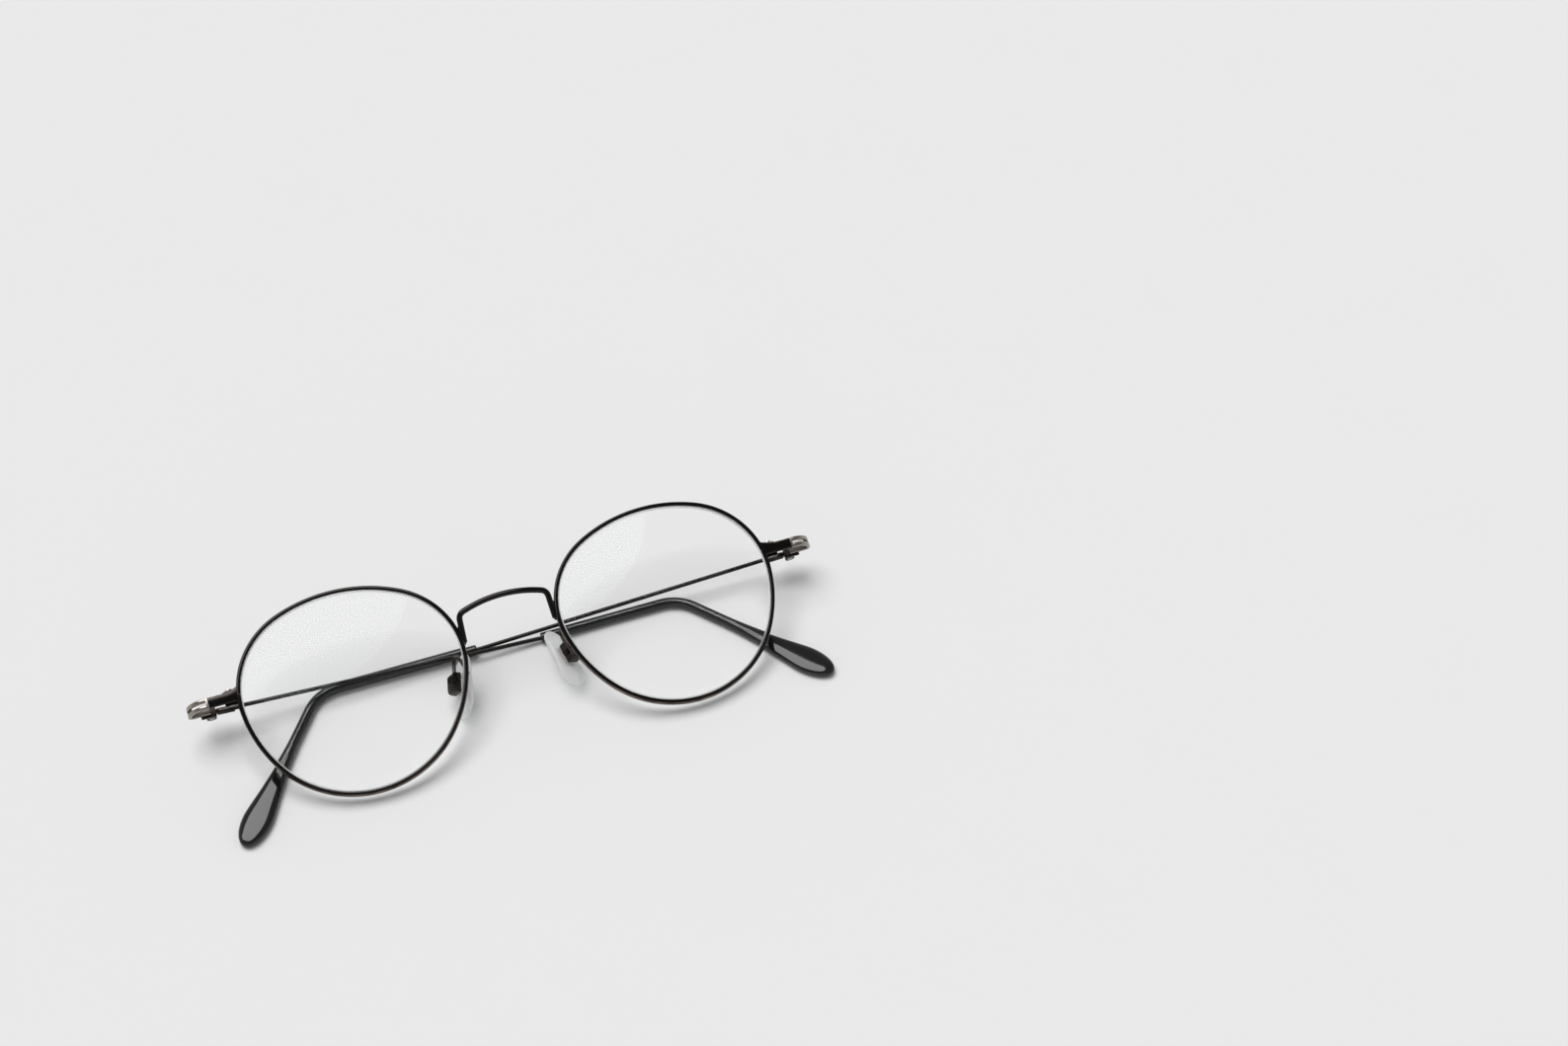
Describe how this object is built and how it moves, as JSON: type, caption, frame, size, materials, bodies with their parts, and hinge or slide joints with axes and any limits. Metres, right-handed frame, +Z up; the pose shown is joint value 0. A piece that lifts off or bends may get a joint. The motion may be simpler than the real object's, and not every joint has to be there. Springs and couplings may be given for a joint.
{
  "type": "eyeglasses",
  "caption": "Round thin-metal eyeglasses with clear lenses, folding wire temples with dark sleeve tips and small clear nose pads, lying folded.",
  "frame": {"origin": "on the table, under the middle of the folded glasses' bounding box", "axes": "+Z up from the table, X along the width with the picture's right at +X, and the front facing -Y and up"},
  "size_m": [0.138, 0.0454, 0.0191],
  "materials": {
    "frame_metal": "gloss black",
    "loop_metal": "satin warm silver",
    "hinge_metal": "dark satin",
    "screw_steel": "satin",
    "washer": "satin",
    "arm_metal": "dark satin",
    "core_metal": "satin",
    "lens": "clear, polished",
    "tip_plastic": "gloss black acetate",
    "pad_silicone": "clear soft silicone"
  },
  "bodies": {
    "front": {"bridge": "frame_metal", "rim_left": "frame_metal", "lens_left": "lens", "end_piece_left": "frame_metal", "rim_lock_upper_left": "frame_metal", "rim_lock_lower_left": "frame_metal", "rim_lock_screw_left": "screw_steel", "corner_loop_left": "loop_metal", "hinge_front_left": "hinge_metal", "hinge_screw_left": "screw_steel", "pad_arm_left": "arm_metal", "pad_box_left": "arm_metal", "pad_screw_left": "screw_steel", "rim_right": "frame_metal", "lens_right": "lens", "end_piece_right": "frame_metal", "rim_lock_upper_right": "frame_metal", "rim_lock_lower_right": "frame_metal", "rim_lock_screw_right": "screw_steel", "corner_loop_right": "loop_metal", "hinge_front_right": "hinge_metal", "hinge_screw_right": "screw_steel", "pad_arm_right": "arm_metal", "pad_box_right": "arm_metal", "pad_screw_right": "screw_steel"},
    "temple_left": {"hinge_rear_left": "hinge_metal", "hinge_washers_left": "washer", "temple_wire_left": "frame_metal", "temple_tip_left": "tip_plastic"},
    "pad_left": {"pad_core_left": "core_metal", "nose_pad_left": "pad_silicone"},
    "temple_right": {"hinge_rear_right": "hinge_metal", "hinge_washers_right": "washer", "temple_wire_right": "frame_metal", "temple_tip_right": "tip_plastic"},
    "pad_right": {"pad_core_right": "core_metal", "nose_pad_right": "pad_silicone"}
  },
  "joints": [
    {"name": "hinge_left", "type": "hinge", "parent": "front", "child": "temple_left", "pos_m": [-0.06451, 0.00915, 0.00578], "axis": [0, 0.9345, 0.3559], "range_deg": [0, 92]},
    {"name": "hinge_right", "type": "hinge", "parent": "front", "child": "temple_right", "pos_m": [0.06451, 0.00915, 0.00578], "axis": [0, -0.9345, -0.3559], "range_deg": [0, 92]},
    {"name": "pad_rock_left", "type": "hinge", "parent": "front", "child": "pad_left", "pos_m": [-0.0143, -0.00074, 0.00564], "axis": [-0.4695, 0.3143, -0.8251], "range_deg": [-8, 8]},
    {"name": "pad_rock_right", "type": "hinge", "parent": "front", "child": "pad_right", "pos_m": [0.0113, -0.00085, 0.00592], "axis": [-0.766, -0.2288, 0.6007], "range_deg": [-8, 8]}
  ]
}
